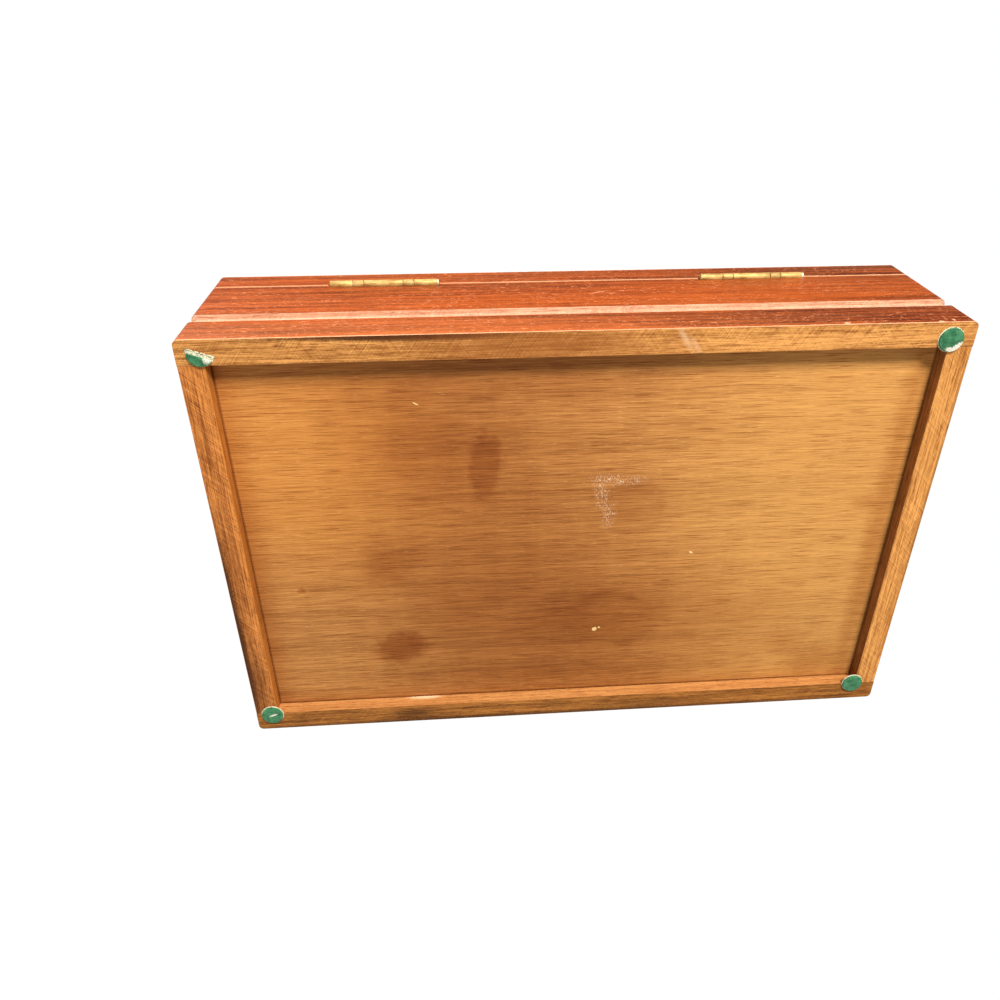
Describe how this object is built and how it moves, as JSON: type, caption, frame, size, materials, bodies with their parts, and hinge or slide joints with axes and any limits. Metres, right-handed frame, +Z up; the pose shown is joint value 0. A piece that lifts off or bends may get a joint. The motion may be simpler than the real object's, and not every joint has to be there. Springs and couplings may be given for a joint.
{
  "type": "hinged wooden box",
  "caption": "Shallow rectangular wooden box with a hinged framed lid, a groove round the body, a sunk bottom panel, brass butt hinges and felt pads under the corners.",
  "frame": {"origin": "centre of the underside of the object's bounding box, at the level of the felt pads' undersides", "axes": "+Z up, +X along the box's length towards its right end, -Y towards the front, +Y towards the hinges"},
  "size_m": [0.27, 0.1788, 0.0667],
  "materials": {
    "stained_wood": "red-brown stain under a satin lacquer",
    "panel_wood": "light varnished plywood with open grain",
    "leaf_brass": "bright plated brass, slightly rubbed",
    "screw_brass": "plain brass",
    "pin_brass": "plain brass wire",
    "green_felt": "pressed green felt"
  },
  "bodies": {
    "body": {"wall_front": "stained_wood", "wall_back": "stained_wood", "wall_left": "stained_wood", "wall_right": "stained_wood", "bottom_panel": "panel_wood", "hinge_left_body_leaf": "leaf_brass", "hinge_left_pin": "pin_brass", "hinge_left_body_screw_1": "screw_brass", "hinge_left_body_screw_2": "screw_brass", "hinge_right_body_leaf": "leaf_brass", "hinge_right_pin": "pin_brass", "hinge_right_body_screw_1": "screw_brass", "hinge_right_body_screw_2": "screw_brass", "pad_front_left": "green_felt", "pad_front_right": "green_felt", "pad_back_left": "green_felt", "pad_back_right": "green_felt"},
    "lid": {"lid_rail_front": "stained_wood", "lid_rail_back": "stained_wood", "lid_rail_left": "stained_wood", "lid_rail_right": "stained_wood", "lid_panel": "stained_wood", "hinge_left_lid_leaf": "leaf_brass", "hinge_left_lid_screw_1": "screw_brass", "hinge_left_lid_screw_2": "screw_brass", "hinge_right_lid_leaf": "leaf_brass", "hinge_right_lid_screw_1": "screw_brass", "hinge_right_lid_screw_2": "screw_brass"}
  },
  "joints": [
    {"name": "lid_hinge", "type": "hinge", "parent": "body", "child": "lid", "pos_m": [0, 0.088, 0.0538], "axis": [-1, 0, 0], "range_deg": [0, 180]}
  ]
}
